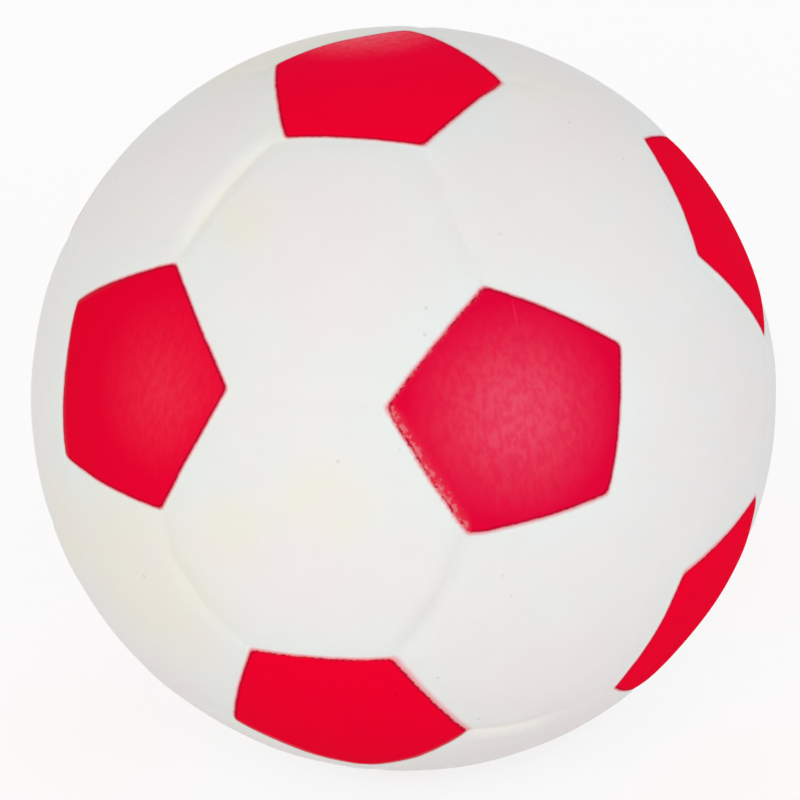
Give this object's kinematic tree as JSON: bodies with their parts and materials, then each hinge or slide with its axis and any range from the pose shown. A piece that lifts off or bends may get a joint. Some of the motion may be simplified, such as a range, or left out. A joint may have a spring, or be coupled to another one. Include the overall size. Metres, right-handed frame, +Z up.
{
  "type": "dog ball",
  "caption": "Soft foam fetch ball for dogs, with red pentagon panels and white hexagon panels divided by shallow moulded grooves.",
  "frame": {"origin": "centre of the ball", "axes": "+Z up through the middle of the top pentagon, red_pentagon_01; -Y is the front, under which red_pentagon_02 lies; +X to the right of it"},
  "size_m": [0.063, 0.063, 0.063],
  "materials": {
    "foam_core": "matte",
    "red_panel": "matte",
    "white_panel": "matte"
  },
  "bodies": {
    "root": {"foam_core": "foam_core", "red_pentagon_01": "red_panel", "red_pentagon_02": "red_panel", "red_pentagon_03": "red_panel", "red_pentagon_04": "red_panel", "red_pentagon_05": "red_panel", "red_pentagon_06": "red_panel", "red_pentagon_07": "red_panel", "red_pentagon_08": "red_panel", "red_pentagon_09": "red_panel", "red_pentagon_10": "red_panel", "red_pentagon_11": "red_panel", "red_pentagon_12": "red_panel", "white_hexagon_01": "white_panel", "white_hexagon_02": "white_panel", "white_hexagon_03": "white_panel", "white_hexagon_04": "white_panel", "white_hexagon_05": "white_panel", "white_hexagon_06": "white_panel", "white_hexagon_07": "white_panel", "white_hexagon_08": "white_panel", "white_hexagon_09": "white_panel", "white_hexagon_10": "white_panel", "white_hexagon_11": "white_panel", "white_hexagon_12": "white_panel", "white_hexagon_13": "white_panel", "white_hexagon_14": "white_panel", "white_hexagon_15": "white_panel", "white_hexagon_16": "white_panel", "white_hexagon_17": "white_panel", "white_hexagon_18": "white_panel", "white_hexagon_19": "white_panel", "white_hexagon_20": "white_panel"}
  },
  "joints": []
}
